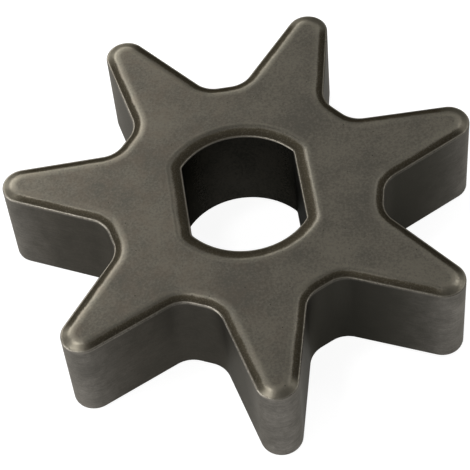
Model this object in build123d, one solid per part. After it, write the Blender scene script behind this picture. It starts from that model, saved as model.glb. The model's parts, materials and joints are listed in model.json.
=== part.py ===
from build123d import *

import os
from math import cos, radians, sin, tan

# Star sprocket that drives the chain of an electric chainsaw, pressed from steel powder and sintered.
# The bore axis is Z, the lower face rests on Z = 0, and one tooth points along -Y.
# Lengths are in millimetres and angles in degrees.

# Teeth
tooth_count = 7
chain_pitch = 9.32  # from rivet to rivet along the chain
strap_depth = 3.08  # lower edge of a tie strap, below the line through its two rivets
root_diameter = 19.9  # circle through the gullet floors
tip_radius = 1.5  # full round at the end of a tooth
flank_angle = 13.75  # straight flank, measured from the middle of its tooth
root_fillet = 1.9  # round between a flank and the gullet floor
first_tooth = -90  # direction of one tooth, measured from +X

# Shaft with two flats, and the bore that slides over it
shaft_diameter = 10.0
shaft_flats = 8.0  # across the flats
shaft_clearance = 0.1  # on the diameter and across the flats
bore_corner = 0.25  # round where a flat meets the curved wall

# Faces: each rises from a narrow flat land over a bevel, with a soft round at the top
thickness = 7.7  # from face to face
land_width = 0.14
bevel_width = 0.6
bevel_depth = 0.2
mouth_bevel_width = 0.85  # bevel around the bore
face_round = 1.6

# The chain has a tie strap over each tooth and a drive link in each gullet. A strap lies across
# its tooth from rivet to rivet, and its lower edge rides on the tip.
link_angle = 360 / (2 * tooth_count)
tip_reach = chain_pitch / 2 / tan(radians(link_angle / 2)) - strap_depth

# Places of the two faces in the list of all faces from the lowest to the highest
LOWER_FACE = 0
UPPER_FACE = -1


def tooth():
    """Flat tooth along +X: a wedge from the bore axis outwards, closed by the round of its tip."""
    tip_centre = tip_reach - tip_radius
    slope = radians(flank_angle)
    shoulder = Vector(tip_centre + tip_radius * sin(slope), tip_radius * cos(slope))
    half_base = shoulder.Y + shoulder.X * tan(slope)
    wedge = Polygon(
        (0, -half_base),
        (shoulder.X, -shoulder.Y),
        (shoulder.X, shoulder.Y),
        (0, half_base),
        align=None,
    )
    return wedge + Pos(tip_centre, 0) * Circle(tip_radius)


def wall_outline():
    """Outline of the star: teeth around the hub, with the gullets as a round cutter leaves them."""
    teeth = PolarLocations(0, tooth_count, start_angle=first_tooth) * tooth()
    sharp = Circle(root_diameter / 2) + teeth
    return offset(offset(sharp, root_fillet), -root_fillet)


def bore_outline():
    """Outline of the bore: a circle with one flat towards -X and one towards +X."""
    bore_diameter = shaft_diameter + shaft_clearance
    bore_flats = shaft_flats + shaft_clearance
    sharp = Circle(bore_diameter / 2) & Rectangle(bore_flats, bore_diameter)
    return fillet(sharp.vertices(), bore_corner)


def shape_face(blank, end):
    """Bevel one face along its teeth and around its bore, then soften the edges that it keeps."""

    def face():
        return blank.faces().sort_by(Axis.Z)[end]

    blank = chamfer(face().outer_wire().edges(), bevel_width, bevel_depth, reference=face())
    blank = chamfer(face().inner_wires()[0].edges(), mouth_bevel_width, bevel_depth, reference=face())
    return fillet(face().edges(), face_round)


def sprocket():
    """Upright walls as far as the lands, and inside the lands the body that rises to both faces."""
    outline = wall_outline()
    bore = bore_outline()
    walls = Pos(0, 0, bevel_depth) * extrude(outline - bore, thickness - 2 * bevel_depth)
    body = extrude(offset(outline, -land_width) - offset(bore, land_width), thickness)
    body = shape_face(body, LOWER_FACE)
    body = shape_face(body, UPPER_FACE)
    return walls + body


os.makedirs("parts", exist_ok=True)
export_step(sprocket(), "parts/sprocket.step")
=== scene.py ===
import json
import math

import bpy
from mathutils import Matrix, Vector


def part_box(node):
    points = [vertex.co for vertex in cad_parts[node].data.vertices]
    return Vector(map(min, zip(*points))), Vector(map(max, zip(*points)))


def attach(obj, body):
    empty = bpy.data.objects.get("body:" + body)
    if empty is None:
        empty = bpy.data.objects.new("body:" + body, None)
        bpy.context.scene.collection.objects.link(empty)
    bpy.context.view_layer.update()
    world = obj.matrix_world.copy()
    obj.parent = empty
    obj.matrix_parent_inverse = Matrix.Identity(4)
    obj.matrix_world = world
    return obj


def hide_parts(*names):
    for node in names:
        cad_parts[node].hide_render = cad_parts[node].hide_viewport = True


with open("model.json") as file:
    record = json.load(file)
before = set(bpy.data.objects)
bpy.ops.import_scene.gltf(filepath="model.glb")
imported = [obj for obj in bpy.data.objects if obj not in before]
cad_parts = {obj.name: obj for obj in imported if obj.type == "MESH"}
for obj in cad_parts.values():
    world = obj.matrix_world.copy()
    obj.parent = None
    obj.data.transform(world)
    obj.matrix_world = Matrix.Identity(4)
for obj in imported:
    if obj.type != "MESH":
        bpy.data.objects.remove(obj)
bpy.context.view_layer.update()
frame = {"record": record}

MM = 0.001

# Sizes read from the frame
CAD_LOW, CAD_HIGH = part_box("sprocket")
SHAFT_BORE = next(m for m in frame["record"]["mounts"] if m["name"] == "shaft_bore")
THICKNESS = CAD_HIGH.z
TIP_REACH = -CAD_LOW.y
BORE_RADIUS = SHAFT_BORE["dims"]["r_mm"] * MM

# Sizes of the teeth, the bore and the edges, as in the part
TEETH = 7
ROOT_RADIUS = 9.95 * MM
TIP_RADIUS = 1.5 * MM
FLANK_ANGLE = math.radians(13.75)
ROOT_FILLET = 1.9 * MM
BORE_HALF_FLATS = 4.05 * MM
BORE_CORNER = 0.45 * MM
LAND_WIDTH = 0.14 * MM
BEVEL_WIDTH = 0.6 * MM
MOUTH_BEVEL_WIDTH = 0.85 * MM
BEVEL_DEPTH = 0.2 * MM
FACE_ROUND = 2.2 * MM
MOUTH_ROUND = 1.4 * MM


class Bench:
    """Adds nodes to one tree. An input takes a plain value or another node's output."""

    def __init__(self, tree):
        self.tree = tree

    def node(self, kind, inputs=None, **settings):
        made = self.tree.nodes.new(kind)
        for name, value in settings.items():
            setattr(made, name, value)
        for key, value in (inputs or {}).items():
            self.feed(made.inputs[key], value)
        return made

    def feed(self, socket, value):
        if isinstance(value, bpy.types.NodeSocket):
            self.tree.links.new(value, socket)
        else:
            socket.default_value = value

    def out(self, kind, inputs=None, output=0, **settings):
        return self.node(kind, inputs, **settings).outputs[output]

    def math(self, operation, *values):
        return self.out("ShaderNodeMath", dict(enumerate(values)), operation=operation)

    def pick(self, data_type, index, values):
        """The value whose place in the list is the index."""
        switch = self.node("GeometryNodeIndexSwitch", data_type=data_type)
        while len(switch.index_switch_items) < len(values):
            switch.index_switch_items.new()
        self.feed(switch.inputs["Index"], index)
        for place, value in enumerate(values):
            self.feed(switch.inputs[place + 1], value)
        return switch.outputs[0]

    def vector(self, x=0.0, y=0.0, z=0.0):
        return self.out("ShaderNodeCombineXYZ", {0: x, 1: y, 2: z})

    def parts(self, vector):
        """X, Y and Z of a vector."""
        return self.node("ShaderNodeSeparateXYZ", {0: vector}).outputs

    def rise(self, value, start, end):
        """0 up to the start and 1 from the end on, with a smooth rise between them."""
        return self.out("ShaderNodeMapRange", {
            "Value": value, "From Min": start, "From Max": end,
        }, interpolation_type="SMOOTHSTEP")

    def fall(self, value, start, end):
        """1 up to the start and 0 from the end on."""
        return self.math("SUBTRACT", 1.0, self.rise(value, start, end))

    def between(self, factor, first, last):
        """Number between two numbers, the first where the factor is 0 and the last where it is 1."""
        return self.math("MULTIPLY_ADD", factor, last - first, first)

    def product(self, first, *others):
        """All values multiplied together."""
        for other in others:
            first = self.math("MULTIPLY", first, other)
        return first

    def blend(self, factor, first, second):
        """Colour between two colours."""
        mix = self.node("ShaderNodeMix", data_type="RGBA")
        for place, value in ((0, factor), (6, first), (7, second)):
            self.feed(mix.inputs[place], value)
        return mix.outputs[2]

    def noise(self, place, size, detail=2.0, roughness=0.5):
        """Noise from 0 to 1 whose patches are about as wide as the size."""
        return self.out("ShaderNodeTexNoise", {
            "Vector": place, "Scale": 1 / size, "Detail": detail, "Roughness": roughness,
        })


def new_tree(name, kind, inputs, outputs):
    """A node group with its sockets, its bench, and its inputs by name."""
    tree = bpy.data.node_groups.new(name, kind)
    for label, socket_type in inputs:
        tree.interface.new_socket(label, in_out="INPUT", socket_type=socket_type)
    for label, socket_type in outputs:
        tree.interface.new_socket(label, in_out="OUTPUT", socket_type=socket_type)
    bench = Bench(tree)
    source = bench.node("NodeGroupInput")
    return tree, bench, {s.name: s for s in source.outputs if s.name}


# Form of the sprocket

FORM_INPUTS = (
    ("Teeth", "NodeSocketInt"),
    ("Apex Reach", "NodeSocketFloat"),
    ("Gullet Reach", "NodeSocketFloat"),
    ("Gullet Angle", "NodeSocketFloat"),
    ("Tip Radius", "NodeSocketFloat"),
    ("Root Fillet", "NodeSocketFloat"),
    ("Bore Radius", "NodeSocketFloat"),
    ("Bore Half Flats", "NodeSocketFloat"),
    ("Bore Corner", "NodeSocketFloat"),
    ("Thickness", "NodeSocketFloat"),
    ("Land Width", "NodeSocketFloat"),
    ("Bevel Width", "NodeSocketFloat"),
    ("Mouth Bevel Width", "NodeSocketFloat"),
    ("Bevel Depth", "NodeSocketFloat"),
    ("Face Round", "NodeSocketFloat"),
    ("Mouth Round", "NodeSocketFloat"),
    ("Face Steel", "NodeSocketMaterial"),
    ("Wall Steel", "NodeSocketMaterial"),
    ("Bore Steel", "NodeSocketMaterial"),
)
FIRST_TOOTH = -math.pi / 2
CORNERS_PER_TOOTH = 3  # its apex and the two gullet corners beside it
PATH_STEP = 0.14 * MM
TIP_STEPS = 24
ROOT_STEPS = 16
BORE_CUTS = 30  # in each side of the bore's rectangle
BORE_CORNER_STEPS = 6
NEAR_SIDE = 0.9999  # share of the half height from which a point lies on a short side
LAND_EDGE_ROUND = 0.1 * MM
BEVEL_FOOT_ROUND = 0.1 * MM
BROW_STEPS = 8
FOOT_STEPS = 3
RIM_STEPS = 4
FLAT_MARGIN = 0.5 * MM  # strip of the flat face that is swept with the wall
WALL_MARGIN = 0.2 * MM  # strip of the wall below each land
MID_FACE = 5.0  # place across the bevel that is stored on the flat face
WELD = 0.002 * MM
STEEP = 0.6  # a face whose normal rises less than this belongs to a wall


def star_path(b, size):
    """Closed outline of the walls: the sharp apex and gullet corners of each tooth, then rounded."""
    index = b.out("GeometryNodeInputIndex")
    corner = b.math("MODULO", index, CORNERS_PER_TOOTH)
    tooth = b.math("FLOOR", b.math("DIVIDE", index, CORNERS_PER_TOOTH))
    pitch = b.math("DIVIDE", 2 * math.pi, size["Teeth"])
    beside = size["Gullet Angle"]
    along = b.pick("FLOAT", corner, (0.0, beside, b.math("SUBTRACT", pitch, beside)))
    reach = b.pick("FLOAT", corner, (size["Apex Reach"], size["Gullet Reach"], size["Gullet Reach"]))
    angle = b.math("ADD", b.math("MULTIPLY_ADD", tooth, pitch, FIRST_TOOTH), along)
    x = b.math("MULTIPLY", reach, b.math("COSINE", angle))
    y = b.math("MULTIPLY", reach, b.math("SINE", angle))
    corners = b.math("MULTIPLY", size["Teeth"], CORNERS_PER_TOOTH)
    ring = b.out("GeometryNodeCurvePrimitiveCircle", {"Resolution": corners})
    sharp = b.out("GeometryNodeSetPosition", {"Geometry": ring, "Position": b.vector(x, y)})
    rounded = b.out("GeometryNodeFilletCurve", {
        "Curve": sharp,
        "Count": b.pick("INT", corner, (TIP_STEPS, ROOT_STEPS, ROOT_STEPS)),
        "Radius": b.pick("FLOAT", corner, (size["Tip Radius"], size["Root Fillet"], size["Root Fillet"])),
    }, mode="POLY")
    return b.out("GeometryNodeResampleCurve", {"Curve": rounded, "Length": PATH_STEP}, mode="LENGTH")


def bore_path(b, size):
    """Closed outline of the bore: a rectangle whose two short sides bulge out to the curved walls."""
    half_flats = size["Bore Half Flats"]
    radius_squared = b.math("POWER", size["Bore Radius"], 2)
    half_height = b.math("SQRT", b.math("SUBTRACT", radius_squared, b.math("POWER", half_flats, 2)))
    box = b.out("GeometryNodeCurvePrimitiveQuadrilateral", {
        "Width": b.math("MULTIPLY", half_flats, 2),
        "Height": b.math("MULTIPLY", half_height, 2),
    }, mode="RECTANGLE")
    cut = b.out("GeometryNodeSubdivideCurve", {"Curve": box, "Cuts": BORE_CUTS})
    x, y, _ = b.parts(b.out("GeometryNodeInputPosition"))
    bulge = b.math("SQRT", b.math("SUBTRACT", radius_squared, b.math("MULTIPLY", x, x)))
    short_side = b.math("MULTIPLY", half_height, NEAR_SIDE)
    on_short_side = b.math("GREATER_THAN", b.math("ABSOLUTE", y), short_side)
    height = b.out("GeometryNodeSwitch", {
        "Switch": on_short_side,
        "False": y,
        "True": b.math("MULTIPLY", b.math("SIGN", y), bulge),
    }, input_type="FLOAT")
    bulged = b.out("GeometryNodeSetPosition", {"Geometry": cut, "Position": b.vector(x, height)})
    step = b.math("MODULO", b.out("GeometryNodeInputIndex"), BORE_CUTS + 1)
    at_corner = b.math("LESS_THAN", step, 1)
    return b.out("GeometryNodeFilletCurve", {
        "Curve": bulged,
        "Count": BORE_CORNER_STEPS,
        "Radius": b.math("MULTIPLY", at_corner, size["Bore Corner"]),
    }, mode="POLY")


def edge_section(b, size, bevel_width, brow_round):
    """Open section of one wall with its lands, bevels and face edges, X out of the metal and Y down."""
    index = b.out("GeometryNodeInputIndex")
    land = b.math("MULTIPLY", size["Land Width"], -1)
    brow = b.math("SUBTRACT", land, bevel_width)
    flat = b.math("SUBTRACT", brow, FLAT_MARGIN)
    top = size["Thickness"]
    high_land = b.math("SUBTRACT", top, size["Bevel Depth"])
    low_land = size["Bevel Depth"]
    high_wall = b.math("SUBTRACT", high_land, WALL_MARGIN)
    low_wall = b.math("ADD", low_land, WALL_MARGIN)
    points = (
        (flat, top), (brow, top), (land, high_land), (0.0, high_land), (0.0, high_wall),
        (0.0, low_wall), (0.0, low_land), (land, low_land), (brow, 0.0), (flat, 0.0),
    )
    foot, rim = BEVEL_FOOT_ROUND, LAND_EDGE_ROUND
    rounds = (0.0, brow_round, foot, rim, 0.0, 0.0, rim, foot, brow_round, 0.0)
    steps = (1, BROW_STEPS, FOOT_STEPS, RIM_STEPS, 1, 1, RIM_STEPS, FOOT_STEPS, BROW_STEPS, 1)
    line = b.out("GeometryNodeCurvePrimitiveLine")
    line = b.out("GeometryNodeResampleCurve", {"Curve": line, "Count": len(points)}, mode="COUNT")
    place = b.pick("VECTOR", index, [b.vector(x, y) for x, y in points])
    line = b.out("GeometryNodeSetPosition", {"Geometry": line, "Position": place})
    line = b.out("GeometryNodeTransform", {"Geometry": line, "Scale": (1, -1, 1)})
    line = b.out("GeometryNodeFilletCurve", {
        "Curve": line,
        "Count": b.pick("INT", index, steps),
        "Radius": b.pick("FLOAT", index, rounds),
    }, mode="POLY")
    beyond_foot = b.math("SUBTRACT", land, b.parts(b.out("GeometryNodeInputPosition"))[0])
    return keep_bevel(b, line, b.math("DIVIDE", beyond_foot, bevel_width))


def keep_bevel(b, geometry, across):
    """Stores each point's place across the bevel, 0 at its foot and 1 at its brow, for the colour."""
    return b.out("GeometryNodeStoreNamedAttribute", {
        "Geometry": geometry, "Name": "bevel", "Value": across,
    }, data_type="FLOAT", domain="POINT")


def sweep(b, path, section):
    """Wall along a closed path, with the section upright."""
    upright = b.out("GeometryNodeSetCurveNormal", {"Curve": path}, mode="Z_UP")
    return b.out("GeometryNodeCurveToMesh", {"Curve": upright, "Profile Curve": section})


def flat_face(b, rims, level, half_thickness, turned):
    """Flat face between the rims at one level."""
    height = b.parts(b.out("GeometryNodeInputPosition"))[2]
    apart = b.math("ABSOLUTE", b.math("SUBTRACT", height, level))
    near = b.math("LESS_THAN", apart, half_thickness)
    ring = b.out("GeometryNodeSeparateGeometry", {"Geometry": rims, "Selection": near}, domain="CURVE")
    sheet = b.out("GeometryNodeFillCurve", {"Curve": ring}, mode="TRIANGLES")
    sheet = keep_bevel(b, sheet, MID_FACE)
    sheet = b.out("GeometryNodeTransform", {"Geometry": sheet, "Translation": b.vector(z=level)})
    return b.out("GeometryNodeFlipFaces", {"Mesh": sheet}) if turned else sheet


def form_tree():
    """The whole sprocket: walls swept along the star and the bore, closed by two flat faces."""
    outputs = [("Geometry", "NodeSocketGeometry")]
    tree, b, size = new_tree("sprocket_form", "GeometryNodeTree", FORM_INPUTS, outputs)
    star = sweep(b, star_path(b, size), edge_section(b, size, size["Bevel Width"], size["Face Round"]))
    bore = b.out("GeometryNodeReverseCurve", {"Curve": bore_path(b, size)})
    bore = sweep(b, bore, edge_section(b, size, size["Mouth Bevel Width"], size["Mouth Round"]))
    walls = b.node("GeometryNodeJoinGeometry")
    for wall in (star, bore):
        b.feed(walls.inputs[0], wall)
    faces_beside = b.out("GeometryNodeInputMeshEdgeNeighbors")
    open_edge = b.math("LESS_THAN", faces_beside, 2)
    rims = b.out("GeometryNodeMeshToCurve", {"Mesh": walls.outputs[0], "Selection": open_edge})
    half = b.math("DIVIDE", size["Thickness"], 2)
    upper = flat_face(b, rims, size["Thickness"], half, turned=False)
    lower = flat_face(b, rims, 0.0, half, turned=True)
    whole = b.node("GeometryNodeJoinGeometry")
    for piece in (walls.outputs[0], upper, lower):
        b.feed(whole.inputs[0], piece)
    welded = b.out("GeometryNodeMergeByDistance", {"Geometry": whole.outputs[0], "Distance": WELD})
    smooth = b.out("GeometryNodeSetShadeSmooth", {"Geometry": welded})
    real = b.out("GeometryNodeRealizeInstances", {"Geometry": smooth})
    tilt = b.parts(b.out("GeometryNodeInputNormal"))[2]
    steep = b.math("LESS_THAN", b.math("ABSOLUTE", tilt), STEEP)
    x, y, _ = b.parts(b.out("GeometryNodeInputPosition"))
    from_axis = b.out("ShaderNodeVectorMath", {0: b.vector(x, y)}, output=1, operation="LENGTH")
    hub_middle = b.math("DIVIDE", b.math("ADD", size["Bore Radius"], size["Gullet Reach"]), 2)
    in_bore = b.math("LESS_THAN", from_axis, hub_middle)
    dressed = b.out("GeometryNodeSetMaterial", {"Geometry": real, "Material": size["Face Steel"]})
    bore_wall = b.math("MULTIPLY", steep, in_bore)
    for material, where in (("Wall Steel", steep), ("Bore Steel", bore_wall)):
        dressed = b.out("GeometryNodeSetMaterial", {
            "Geometry": dressed, "Selection": where, "Material": size[material],
        })
    b.node("NodeGroupOutput", {0: dressed})
    return tree


def make_sprocket(materials):
    """The sprocket as a plain mesh made by its form tree."""
    tip_centre = TIP_REACH - TIP_RADIUS
    flank_distance = tip_centre * math.sin(FLANK_ANGLE) + TIP_RADIUS
    half_pitch = math.pi / TEETH
    spread = math.cos(FLANK_ANGLE + half_pitch)
    gullet_corner = Vector((
        (ROOT_RADIUS * math.cos(FLANK_ANGLE) - flank_distance * math.sin(half_pitch)) / spread,
        (flank_distance * math.cos(half_pitch) - ROOT_RADIUS * math.sin(FLANK_ANGLE)) / spread,
    ))
    values = {
        "Teeth": TEETH,
        "Apex Reach": tip_centre + TIP_RADIUS / math.sin(FLANK_ANGLE),
        "Gullet Reach": gullet_corner.length,
        "Gullet Angle": math.atan2(gullet_corner.y, gullet_corner.x),
        "Tip Radius": TIP_RADIUS,
        "Root Fillet": ROOT_FILLET,
        "Bore Radius": BORE_RADIUS,
        "Bore Half Flats": BORE_HALF_FLATS,
        "Bore Corner": BORE_CORNER,
        "Thickness": THICKNESS,
        "Land Width": LAND_WIDTH,
        "Bevel Width": BEVEL_WIDTH,
        "Mouth Bevel Width": MOUTH_BEVEL_WIDTH,
        "Bevel Depth": BEVEL_DEPTH,
        "Face Round": FACE_ROUND,
        "Mouth Round": MOUTH_ROUND,
        **materials,
    }
    piece = bpy.data.objects.new("star_sprocket", bpy.data.meshes.new("star_sprocket_base"))
    bpy.context.scene.collection.objects.link(piece)
    modifier = piece.modifiers.new("form", "NODES")
    modifier.node_group = form_tree()
    for socket in modifier.node_group.interface.items_tree:
        if socket.in_out == "INPUT":
            modifier[socket.identifier] = values[socket.name]
    shaped = piece.evaluated_get(bpy.context.evaluated_depsgraph_get())
    mesh = bpy.data.meshes.new_from_object(shaped)
    if mesh.materials[0] is None:
        mesh.materials.pop(index=0)
    piece.modifiers.clear()
    piece.data = mesh
    mesh.name = "star_sprocket"
    return piece


# Sintered steel

FACE_LIGHT = (0.1365, 0.125, 0.100, 1)
FACE_DARK = (0.088, 0.082, 0.068, 1)
FACE_BROWN = (0.113, 0.091, 0.070, 1)
GROOVE = (0.041, 0.035, 0.024, 1)
GROOVE_FOOT = (0.019, 0.016, 0.011, 1)
# Bright wall colour towards the tips: partly rubbed steel, partly painted light, with the gullets left
# darker as painted shade.
WALL_RUBBED_AND_LIT = (0.200, 0.187, 0.168, 1)
WALL_DARK = (0.066, 0.060, 0.051, 1)
# Colour of the wall stains, also used as painted shade on the walls towards +X.
WALL_STAIN_AND_SHADE = (0.027, 0.0265, 0.0225, 1)
# Painted shade low in the gullets, darkest on the side towards +X.
GULLET_SHADE = (0.014, 0.0135, 0.0115, 1)
BORE_DARK = (0.018, 0.018, 0.016, 1)
# Brow colour: partly wear, partly a painted highlight, strongest at the tips.
BROW_WEAR_AND_HIGHLIGHT = (0.222, 0.205, 0.162, 1)
# Bright edge lines: partly rubbed steel, partly a painted highlight.
EDGE_WEAR_AND_HIGHLIGHT = (0.235, 0.217, 0.186, 1)
SPECK = (0.030, 0.028, 0.024, 1)
FACE_EDGE_TINT = (0.4, 0.39, 0.37, 1)
DULL_EDGE_TINT = (0.6, 0.59, 0.56, 1)
BORE_EDGE_TINT = (0.15, 0.15, 0.13, 1)


# Powder grain
GRAIN_COARSENESS = 1.0
MOTTLE_SIZE = 3.5 * MM
FLECK_SIZE = 0.17 * MM
FLECK_SHARE = 0.6
STAIN_SIZE = 1.3 * MM
GRAIN_SIZE = 0.09 * MM
GRAIN_DEPTH = 0.012 * MM
GRAIN_STRENGTH = 0.5
PORE_SPACING = 0.5 * MM
PORE_RADII = (0.04, 0.13)  # shares of the spacing where a pore is full and where it ends
PORE_CHANCE = (0.7, 1.0)
MOTTLE_RANGE = (0.38, 0.62)
STAIN_RANGE = (0.38, 0.66)
STREAK_SIZE = 1.1 * MM
STREAK_STRETCH = (1, 1, 8)  # makes the streaks long and low
STREAK_RANGE = (0.35, 0.65)

# Wear, painted highlights and painted shade, by distance from the bore axis and by side
RUBBED_AND_LIT_START = 11.5 * MM
RUBBED_AND_LIT_POWER = 3.2
TIP_RANGE = (15.4 * MM, 16.9 * MM)
NOSE_RANGE = (15.4 * MM, 17.2 * MM)
GULLET_RANGE = (10.3 * MM, 14.5 * MM)
# Painted shade: walls and edge lines towards +X are painted darker, standing in for the shadowed floor
# that the walls there reflect.
SHADED_SIDE_RANGE = (-6 * MM, 6 * MM)
LOW_RANGE = (0.5 * MM, 7 * MM)  # heights between which the painted shade low in a gullet thins out
WEAR_PATCH = 1.2 * MM
WEAR_UNEVENNESS = 1.2 * MM

# Places across the bevel, 0 at its foot and 1 at its brow
LAND_RANGE = (-0.14, 0.0)
GROOVE_START = (-0.1, 0.06)
GROOVE_FOOT_END = (0.15, 0.6)
GROOVE_END = (0.55, 0.85)
POLISH_END = (0.85, 1.15)
BROW_END = (1.2, 1.9)
GROOVE_STAIN_SHIFT = 0.1
GROOVE_GRAIN_SHIFT = 0.3
GROOVE_SHIFT = -0.2
BARE_GRAIN_RANGE = (0.5, 0.72)

# Heights of the bright edges of the walls, partly rubbed steel and partly painted highlight
WALL_EDGE = 0.25 * MM
LOWER_WALL_EDGE = 0.1 * MM
BORE_EDGE = 0.12 * MM
LAND_LEVEL = THICKNESS - BEVEL_DEPTH

# Strengths of the finishes, painted highlights and painted shade, from 0 to 1; of a pair, the first is
# where the mask beside it is 0
BROWN_BY_SIDE = (0.4, 0.05)
BROW_WEAR_AND_HIGHLIGHT_BY_TIP = (0.15, 0.55)
GROOVE_BY_NOSE = (1.0, 0.15)
GROOVE_FOOT_SHARE = 0.6
BARE_GRAIN_SHARE = 0.32
EDGE_BY_MOTTLE = (0.3, 1.0)
EDGE_BY_SIDE = (1.0, 0.5)
LOWER_EDGE_SHARE = 0.3
SIDE_SHADE_SHARE = 0.65
GULLET_SHADE_BY_HEIGHT = (0.2, 0.9)
STREAK_SHARE = 0.22
WALL_STAIN_SHARE = 0.22
WALL_MOTTLE_SHARE = 0.25
BORE_MOTTLE_SHARE = 0.3

# Roughness
FACE_ROUGHNESS = 0.33
WALL_ROUGHNESS = 0.5
GRAIN_ROUGHNESS = 0.12
GROOVE_ROUGHNESS = 0.2
POLISHED_ROUGHNESS = -0.1


def object_place(b):
    """Place in the sprocket's own coordinates."""
    return b.out("ShaderNodeTexCoord", output=3)


def grain_group():
    """Grain of pressed powder: wide mottling, stains, fine grain and small open pores."""
    inputs = [("Coarseness", "NodeSocketFloat")]
    outputs = [(name, "NodeSocketFloat") for name in ("Mottle", "Stains", "Grain", "Pores")]
    tree, b, size = new_tree("powder_grain", "ShaderNodeTree", inputs, outputs)
    fineness = b.math("DIVIDE", 1.0, size["Coarseness"])
    scaled = b.node("ShaderNodeVectorMath", {0: object_place(b), "Scale": fineness}, operation="SCALE")
    place = scaled.outputs[0]
    wide = b.noise(place, MOTTLE_SIZE, 2.0)
    flecks = b.noise(place, FLECK_SIZE, 3.0, 0.7)
    mottle = b.math("MULTIPLY_ADD", flecks, FLECK_SHARE, b.math("MULTIPLY", wide, 1 - FLECK_SHARE))
    stains = b.noise(place, STAIN_SIZE, 5.0, 0.65)
    grain = b.noise(place, GRAIN_SIZE, 2.0, 0.6)
    cells = b.node("ShaderNodeTexVoronoi", {"Vector": place, "Scale": 1 / PORE_SPACING})
    small = b.fall(cells.outputs["Distance"], *PORE_RADII)
    seldom = b.rise(b.parts(cells.outputs["Color"])[0], *PORE_CHANCE)
    b.node("NodeGroupOutput", {
        "Mottle": b.rise(mottle, *MOTTLE_RANGE),
        "Stains": b.rise(stains, *STAIN_RANGE),
        "Grain": grain,
        "Pores": b.math("MULTIPLY", small, seldom),
    })
    return tree


def wear_group():
    """Where the steel is rubbed bright towards the tips, partly with painted light, and where shade is
    painted: in the gullets and on the side towards +X.
    """
    inputs = [("Unevenness", "NodeSocketFloat")]
    names = ("Rubbed And Lit", "Tip", "Nose", "Gullet", "Shaded Side")
    outputs = [(name, "NodeSocketFloat") for name in names]
    tree, b, size = new_tree("wear_and_dirt", "ShaderNodeTree", inputs, outputs)
    place = object_place(b)
    x, y, _ = b.parts(place)
    reach = b.out("ShaderNodeVectorMath", {0: b.vector(x, y)}, output=1, operation="LENGTH")
    centred = b.math("SUBTRACT", b.noise(place, WEAR_PATCH), 0.5)
    reach = b.math("MULTIPLY_ADD", centred, size["Unevenness"], reach)
    along = b.out("ShaderNodeMapRange", {"Value": reach, "From Min": RUBBED_AND_LIT_START, "From Max": TIP_REACH})
    b.node("NodeGroupOutput", {
        "Rubbed And Lit": b.math("POWER", along, RUBBED_AND_LIT_POWER),
        "Tip": b.rise(reach, *TIP_RANGE),
        "Nose": b.rise(reach, *NOSE_RANGE),
        "Gullet": b.fall(reach, *GULLET_RANGE),
        "Shaded Side": b.rise(x, *SHADED_SIDE_RANGE),
    })
    return tree


GRAIN = grain_group()
WEAR = wear_group()


def use_group(b, tree, **inputs):
    """Outputs of a node group, with its inputs set by name."""
    group = b.node("ShaderNodeGroup", node_tree=tree)
    for name, value in inputs.items():
        b.feed(group.inputs[name], value)
    return group.outputs


def steel(name, paint, edge_tint):
    """Material whose colour, roughness and height come from the paint function."""
    material = bpy.data.materials.new(name)
    material.use_nodes = True
    b = Bench(material.node_tree)
    colour, roughness, height = paint(b)
    shader = material.node_tree.nodes["Principled BSDF"]
    bump = b.out("ShaderNodeBump", {
        "Strength": GRAIN_STRENGTH, "Distance": GRAIN_DEPTH, "Height": height,
    })
    for socket, value in (("Base Color", colour), ("Roughness", roughness), ("Normal", bump)):
        b.feed(shader.inputs[socket], value)
    shader.inputs["Metallic"].default_value = 1
    shader.inputs["Specular Tint"].default_value = edge_tint
    return material


def edge_wear_and_highlight(b, where, grain, wear):
    """Strength of a bright edge line, partly rubbed steel and partly painted highlight, broken by the
    grain and weaker on the side towards +X, where shade is painted.
    """
    by_mottle = b.between(grain["Mottle"], *EDGE_BY_MOTTLE)
    by_side = b.between(wear["Shaded Side"], *EDGE_BY_SIDE)
    return b.product(where, by_mottle, by_side)


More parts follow.
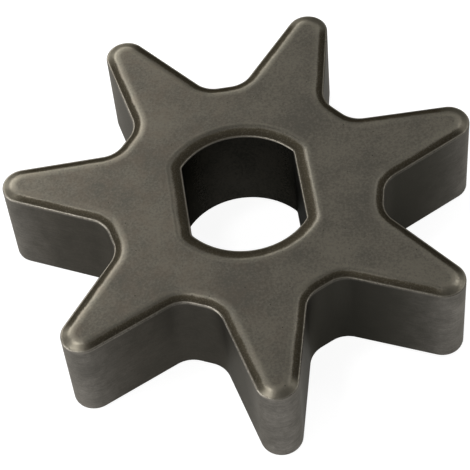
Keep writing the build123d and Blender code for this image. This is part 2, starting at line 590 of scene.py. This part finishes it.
def face_paint(b):
    """Flat face, rounded brow with wear and a painted highlight, bevel with its dirt, and land whose edge
    is bright from wear and a painted highlight.
    """
    grain = use_group(b, GRAIN, Coarseness=GRAIN_COARSENESS)
    wear = use_group(b, WEAR, Unevenness=WEAR_UNEVENNESS)
    across = b.out("ShaderNodeAttribute", output="Fac", attribute_name="bevel")
    colour = b.blend(grain["Mottle"], FACE_DARK, FACE_LIGHT)
    browned = b.math("MULTIPLY", grain["Stains"], b.between(wear["Shaded Side"], *BROWN_BY_SIDE))
    colour = b.blend(browned, colour, FACE_BROWN)
    # Painted highlight and wear on the rounded brow, stronger towards the tips.
    brow_wear_and_highlight = b.between(wear["Tip"], *BROW_WEAR_AND_HIGHLIGHT_BY_TIP)
    colour = b.blend(b.math("MULTIPLY", b.fall(across, *BROW_END), brow_wear_and_highlight), colour, BROW_WEAR_AND_HIGHLIGHT)
    uneven = b.math("MULTIPLY_ADD", grain["Grain"], GROOVE_GRAIN_SHIFT, GROOVE_SHIFT)
    uneven = b.math("MULTIPLY_ADD", grain["Stains"], GROOVE_STAIN_SHIFT, uneven)
    wavy = b.math("ADD", across, uneven)
    groove = b.math("MULTIPLY", b.rise(across, *GROOVE_START), b.fall(wavy, *GROOVE_END))
    groove = b.math("MULTIPLY", groove, b.between(wear["Nose"], *GROOVE_BY_NOSE))
    colour = b.blend(groove, colour, GROOVE)
    foot = b.math("MULTIPLY", groove, b.fall(wavy, *GROOVE_FOOT_END))
    colour = b.blend(b.math("MULTIPLY", foot, GROOVE_FOOT_SHARE), colour, GROOVE_FOOT)
    bare_grains = b.math("MULTIPLY", groove, b.rise(grain["Grain"], *BARE_GRAIN_RANGE))
    colour = b.blend(b.math("MULTIPLY", bare_grains, BARE_GRAIN_SHARE), colour, FACE_LIGHT)
    # Painted highlight and wear along the land's edge.
    edge = edge_wear_and_highlight(b, b.fall(across, *LAND_RANGE), grain, wear)
    colour = b.blend(edge, colour, EDGE_WEAR_AND_HIGHLIGHT)
    colour = b.blend(grain["Pores"], colour, SPECK)
    roughness = b.math("MULTIPLY_ADD", grain["Grain"], GRAIN_ROUGHNESS, FACE_ROUGHNESS)
    roughness = b.math("MULTIPLY_ADD", groove, GROOVE_ROUGHNESS, roughness)
    polished = b.fall(across, *POLISH_END)
    roughness = b.math("MULTIPLY_ADD", polished, POLISHED_ROUGHNESS, roughness)
    return colour, roughness, grain["Grain"]


def wall_paint(b):
    """Upright walls of the teeth, with stains and streaks, brighter towards the tips and darker in the
    gullets and towards +X: partly rubbed steel, partly painted shade.
    """
    grain = use_group(b, GRAIN, Coarseness=GRAIN_COARSENESS)
    wear = use_group(b, WEAR, Unevenness=WEAR_UNEVENNESS)
    place = object_place(b)
    height = b.parts(place)[2]
    # Painted shade: the walls towards +X are darkened, standing in for the shadowed floor they reflect.
    side_shade = b.math("MULTIPLY", wear["Shaded Side"], SIDE_SHADE_SHARE)
    colour = b.blend(side_shade, WALL_DARK, WALL_STAIN_AND_SHADE)
    # Brighter towards the tips: partly rubbed steel, partly painted shade left in the gullets.
    colour = b.blend(wear["Rubbed And Lit"], colour, WALL_RUBBED_AND_LIT)
    # Painted shade in the gullets, deepest low down on the side towards +X.
    low = b.math("MULTIPLY", b.fall(height, *LOW_RANGE), wear["Shaded Side"])
    gullet_shade = b.math("MULTIPLY", wear["Gullet"], b.between(low, *GULLET_SHADE_BY_HEIGHT))
    colour = b.blend(gullet_shade, colour, GULLET_SHADE)
    stretched = b.out("ShaderNodeVectorMath", {0: place, 1: STREAK_STRETCH}, operation="MULTIPLY")
    streaks = b.rise(b.noise(stretched, STREAK_SIZE, 4.0, 0.6), *STREAK_RANGE)
    marks = (
        (streaks, STREAK_SHARE),
        (grain["Stains"], WALL_STAIN_SHARE),
        (grain["Mottle"], WALL_MOTTLE_SHARE),
    )
    for mark, share in marks:
        colour = b.blend(b.math("MULTIPLY", mark, share), colour, WALL_STAIN_AND_SHADE)
    # Painted highlight and wear along the upper and lower edges of the wall.
    upper = b.rise(height, LAND_LEVEL - WALL_EDGE, LAND_LEVEL)
    lower = b.fall(height, BEVEL_DEPTH, BEVEL_DEPTH + LOWER_WALL_EDGE)
    rims = b.math("MAXIMUM", upper, b.math("MULTIPLY", lower, LOWER_EDGE_SHARE))
    colour = b.blend(edge_wear_and_highlight(b, rims, grain, wear), colour, EDGE_WEAR_AND_HIGHLIGHT)
    roughness = b.math("MULTIPLY_ADD", grain["Grain"], GRAIN_ROUGHNESS, WALL_ROUGHNESS)
    return colour, roughness, grain["Grain"]


def bore_paint(b):
    """Walls of the bore, which stay dark below their bright upper edge, partly rubbed steel and partly a
    painted highlight.
    """
    grain = use_group(b, GRAIN, Coarseness=GRAIN_COARSENESS)
    height = b.parts(object_place(b))[2]
    mottled = b.blend(grain["Mottle"], BORE_DARK, WALL_DARK)
    colour = b.blend(BORE_MOTTLE_SHARE, BORE_DARK, mottled)
    # Painted highlight and wear along the bore's upper edge.
    upper = b.rise(height, LAND_LEVEL - BORE_EDGE, LAND_LEVEL)
    colour = b.blend(upper, colour, EDGE_WEAR_AND_HIGHLIGHT)
    roughness = b.math("MULTIPLY_ADD", grain["Grain"], GRAIN_ROUGHNESS, WALL_ROUGHNESS)
    return colour, roughness, grain["Grain"]


sprocket = make_sprocket({
    "Face Steel": steel("face_steel", face_paint, FACE_EDGE_TINT),
    "Wall Steel": steel("wall_steel", wall_paint, DULL_EDGE_TINT),
    "Bore Steel": steel("bore_steel", bore_paint, BORE_EDGE_TINT),
})
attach(sprocket, "root")
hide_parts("sprocket")


# Stage, camera and light

CAMERA_AZIMUTH = -2.65
CAMERA_ELEVATION = 53.66
CAMERA_ROLL = -6.45
CAMERA_DISTANCE = 140.1 * MM
CAMERA_AIM = Vector((-0.843, 1.770, 0.2)) * MM
FOCAL_PIXELS = 1886.3
IMAGE_PIXELS = 470
SENSOR_WIDTH = 36  # millimetres, as Blender counts a lens
CLIP_START = 0.01
CLIP_END = 50
FLOOR_SIDE = 3.0
FLOOR_LEVEL = -0.02 * MM
FLOOR_LIFT = 0.91
FLOOR_PAPER = (0.3, 0.3, 0.3, 1)
WORLD_GREY = (0.3, 0.3, 0.3, 1)
LAMP_DISTANCE = 0.28

# Lamps: name, azimuth from the camera's side, elevation and half angle in degrees, radiance
PANELS = (
    ("back_panel", 207, 40, 12, 4.2),
    ("back_low_panel", 184, 27, 8, 3.2),
    ("back_fill", 145, 46, 13, 0.7),
    ("left_high_panel", 256, 70, 5, 20.5),
    ("left_low_panel", 278, 22, 18, 6.0),
    ("front_fill", 325, 45, 18, 0.8),
    ("right_panel", 118, 53, 4, 9.0),
)


def make_camera():
    """Camera at the photograph's place, with its slight roll."""
    azimuth, elevation, roll = map(math.radians, (CAMERA_AZIMUTH, CAMERA_ELEVATION, CAMERA_ROLL))
    back = Vector((
        math.sin(azimuth) * math.cos(elevation),
        -math.cos(azimuth) * math.cos(elevation),
        math.sin(elevation),
    ))
    right = Vector((0, 0, 1)).cross(back).normalized()
    up = back.cross(right)
    rolled_right = right * math.cos(roll) + up * math.sin(roll)
    rolled_up = up * math.cos(roll) - right * math.sin(roll)
    data = bpy.data.cameras.new("camera")
    data.sensor_width = SENSOR_WIDTH
    data.lens = FOCAL_PIXELS / IMAGE_PIXELS * SENSOR_WIDTH
    data.clip_start = CLIP_START
    data.clip_end = CLIP_END
    camera = bpy.data.objects.new("camera", data)
    turn = Matrix((rolled_right, rolled_up, back)).transposed().to_4x4()
    camera.matrix_world = Matrix.Translation(CAMERA_AIM + back * CAMERA_DISTANCE) @ turn
    bpy.context.scene.collection.objects.link(camera)
    bpy.context.scene.camera = camera


def make_floor():
    """White floor, lifted to white where the camera and the metal see it, with the shadow left in it."""
    mesh = bpy.data.meshes.new("floor")
    signs = ((-1, -1), (1, -1), (1, 1), (-1, 1))
    corners = [(x * FLOOR_SIDE, y * FLOOR_SIDE, FLOOR_LEVEL) for x, y in signs]
    mesh.from_pydata(corners, [], [(0, 1, 2, 3)])
    floor = bpy.data.objects.new("floor", mesh)
    bpy.context.scene.collection.objects.link(floor)
    material = bpy.data.materials.new("white_floor")
    material.use_nodes = True
    tree = material.node_tree
    tree.nodes.remove(tree.nodes["Principled BSDF"])
    b = Bench(tree)
    path = b.node("ShaderNodeLightPath").outputs
    seen = b.math("ADD", path["Is Camera Ray"], path["Is Glossy Ray"])
    seen = b.math("ADD", seen, path["Is Transmission Ray"])
    paper = b.out("ShaderNodeBsdfDiffuse", {"Color": FLOOR_PAPER})
    white = b.out("ShaderNodeEmission", {"Strength": b.math("MULTIPLY", seen, FLOOR_LIFT)})
    both = b.out("ShaderNodeAddShader", {0: paper, 1: white})
    tree.links.new(both, tree.nodes["Material Output"].inputs["Surface"])
    mesh.materials.append(material)


def softbox(name, azimuth, elevation, half_angle, radiance):
    """Square panel that faces the sprocket, as wide and as bright as it looks from there."""
    turn, lift = math.radians(azimuth), math.radians(elevation)
    towards = Vector((
        math.sin(turn) * math.cos(lift),
        -math.cos(turn) * math.cos(lift),
        math.sin(lift),
    ))
    data = bpy.data.lights.new(name, "AREA")
    data.shape = "SQUARE"
    data.size = 2 * LAMP_DISTANCE * math.tan(math.radians(half_angle))
    data.energy = radiance * math.pi * data.size ** 2
    lamp = bpy.data.objects.new(name, data)
    lamp.location = towards * LAMP_DISTANCE
    lamp.rotation_mode = "QUATERNION"
    lamp.rotation_quaternion = towards.to_track_quat("Z", "Y")
    bpy.context.scene.collection.objects.link(lamp)


make_camera()
make_floor()
for panel in PANELS:
    softbox(*panel)
world = bpy.data.worlds.new("studio")
bpy.context.scene.world = world
world.use_nodes = True
world.node_tree.nodes["Background"].inputs["Color"].default_value = WORLD_GREY
bpy.context.scene.view_settings.view_transform = "Standard"
